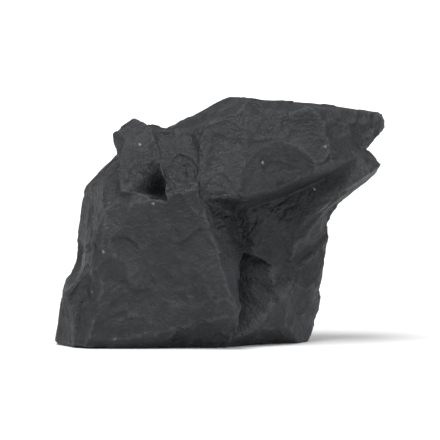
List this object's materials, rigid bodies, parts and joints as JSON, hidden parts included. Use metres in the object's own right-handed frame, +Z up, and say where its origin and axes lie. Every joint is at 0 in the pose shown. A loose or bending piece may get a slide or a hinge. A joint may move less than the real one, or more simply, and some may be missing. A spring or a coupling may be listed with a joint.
{
  "type": "shungite rock",
  "caption": "Broken chip of dull black shungite rock with a broad front face, an overhanging top ledge above a hollow, and a flat spot to rest on.",
  "frame": {"origin": "middle of the bounding box's base, on the surface that the stone rests on", "axes": "+X to the right along the longest extent, +Y away from the viewer through the thickness, +Z up"},
  "size_m": [0.0356, 0.02, 0.0265],
  "materials": {
    "shungite": "raw broken surface, dull with a faint carbon sheen"
  },
  "bodies": {
    "root": {"shungite_stone": "shungite"}
  },
  "joints": []
}
